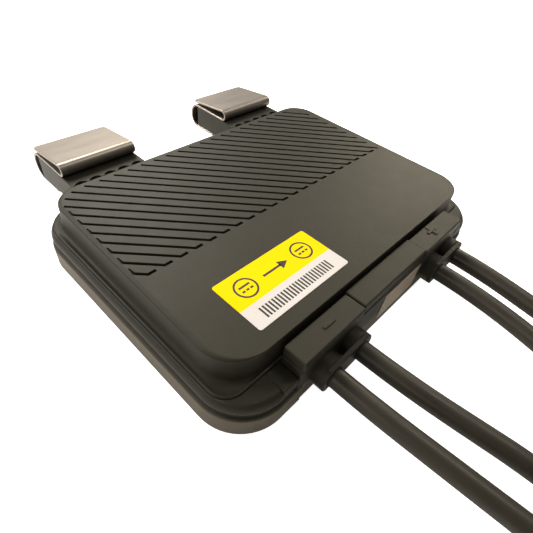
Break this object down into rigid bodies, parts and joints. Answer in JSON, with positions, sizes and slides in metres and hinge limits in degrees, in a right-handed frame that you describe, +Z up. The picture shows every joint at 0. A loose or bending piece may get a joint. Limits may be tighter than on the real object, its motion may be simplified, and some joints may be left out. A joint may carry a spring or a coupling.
{
  "type": "micro inverter",
  "caption": "Flat panel-mounted solar power unit with a ribbed cover, sprung frame clips and cables leaving through glands to plug and socket connectors.",
  "frame": {"origin": "centre of the housing footprint, on its flat underside", "axes": "+Z up through the ribbed cover, -Y toward the cable side, +Y toward the frame clips, +X to the right seen from the cable side"},
  "size_m": [0.1396, 0.3331, 0.0265],
  "materials": {
    "tray_plastic": "fine grained moulded plastic",
    "cover_plastic": "fine grained moulded plastic",
    "seal_rubber": "soft rubber",
    "cable_jacket": "satin cable jacket",
    "connector_plastic": "moulded plastic",
    "collet_plastic": "natural plastic",
    "copper": "bare copper",
    "tinned_metal": "tin plated",
    "spring_steel": "satin rolled sheet",
    "steel": "zinc plated",
    "aluminium_sheet": "rolled sheet",
    "gap_pad": "soft gap filler",
    "board": "solder resist",
    "ferrite": "sintered",
    "component_blue": "moulded case",
    "component_black": "moulded case",
    "label_yellow": "printed film",
    "label_silver": "printed film"
  },
  "bodies": {
    "housing": {"base_tray": "tray_plastic", "top_cover": "cover_plastic", "cover_gasket": "seal_rubber", "entry_cap_negative": "cover_plastic", "entry_cap_positive": "cover_plastic", "gland_plate_negative": "cover_plastic", "gland_plate_positive": "cover_plastic", "cable_grommets": "seal_rubber", "input_cable_negative": "cable_jacket", "output_cable_negative": "cable_jacket", "input_cable_positive": "cable_jacket", "output_cable_positive": "cable_jacket", "copper_cores": "copper", "terminal_barrels": "tinned_metal", "circuit_board": "board", "board_screws": "steel", "heat_spreader": "aluminium_sheet", "thermal_pad": "gap_pad", "inductor_core": "ferrite", "inductor_winding": "copper", "input_capacitors": "component_blue", "output_capacitors": "component_blue", "power_transistors": "component_black", "bypass_diode": "component_black", "controller_chip": "component_black", "radio_shield": "tinned_metal", "product_label": "label_yellow", "rating_label": "label_silver", "plug_housings": "connector_plastic", "socket_housings": "connector_plastic", "plug_pins": "tinned_metal", "socket_contacts": "tinned_metal", "connector_seals": "seal_rubber", "strain_collets": "collet_plastic"},
    "left_clip": {"clip_left": "spring_steel"},
    "left_clip_leaf": {"clip_leaf_left": "spring_steel"},
    "right_clip": {"clip_right": "spring_steel"},
    "right_clip_leaf": {"clip_leaf_right": "spring_steel"},
    "nut_input_negative": {"cap_nut_input_negative": "connector_plastic"},
    "nut_output_negative": {"cap_nut_output_negative": "connector_plastic"},
    "nut_input_positive": {"cap_nut_input_positive": "connector_plastic"},
    "nut_output_positive": {"cap_nut_output_positive": "connector_plastic"}
  },
  "joints": [
    {"name": "left_clip_slide", "type": "slide", "parent": "housing", "child": "left_clip", "axis": [0, 1, 0], "range_m": [0, 0.024]},
    {"name": "left_clip_flex", "type": "hinge", "parent": "left_clip", "child": "left_clip_leaf", "pos_m": [-0.03925, 0.05935, 0.024], "axis": [1, 0, 0], "range_deg": [0, 8], "stiffness_Nm_per_rad": 0.1},
    {"name": "right_clip_slide", "type": "slide", "parent": "housing", "child": "right_clip", "axis": [0, 1, 0], "range_m": [0, 0.024]},
    {"name": "right_clip_flex", "type": "hinge", "parent": "right_clip", "child": "right_clip_leaf", "pos_m": [0.03925, 0.05935, 0.024], "axis": [1, 0, 0], "range_deg": [0, 8], "stiffness_Nm_per_rad": 0.1},
    {"name": "nut_input_negative_turn", "type": "hinge", "parent": "housing", "child": "nut_input_negative", "pos_m": [-0.03259, -0.15294, 0.0086], "axis": [0.0523, -0.9986, 0], "continuous": true},
    {"name": "nut_output_negative_turn", "type": "hinge", "parent": "housing", "child": "nut_output_negative", "pos_m": [-0.00894, -0.21238, 0.0086], "axis": [0.1045, -0.9945, 0], "continuous": true},
    {"name": "nut_input_positive_turn", "type": "hinge", "parent": "housing", "child": "nut_input_positive", "pos_m": [0.0152, -0.15196, 0.0086], "axis": [0, -1, 0], "continuous": true},
    {"name": "nut_output_positive_turn", "type": "hinge", "parent": "housing", "child": "nut_output_positive", "pos_m": [0.03543, -0.21278, 0.0086], "axis": [0, -1, 0], "continuous": true}
  ]
}
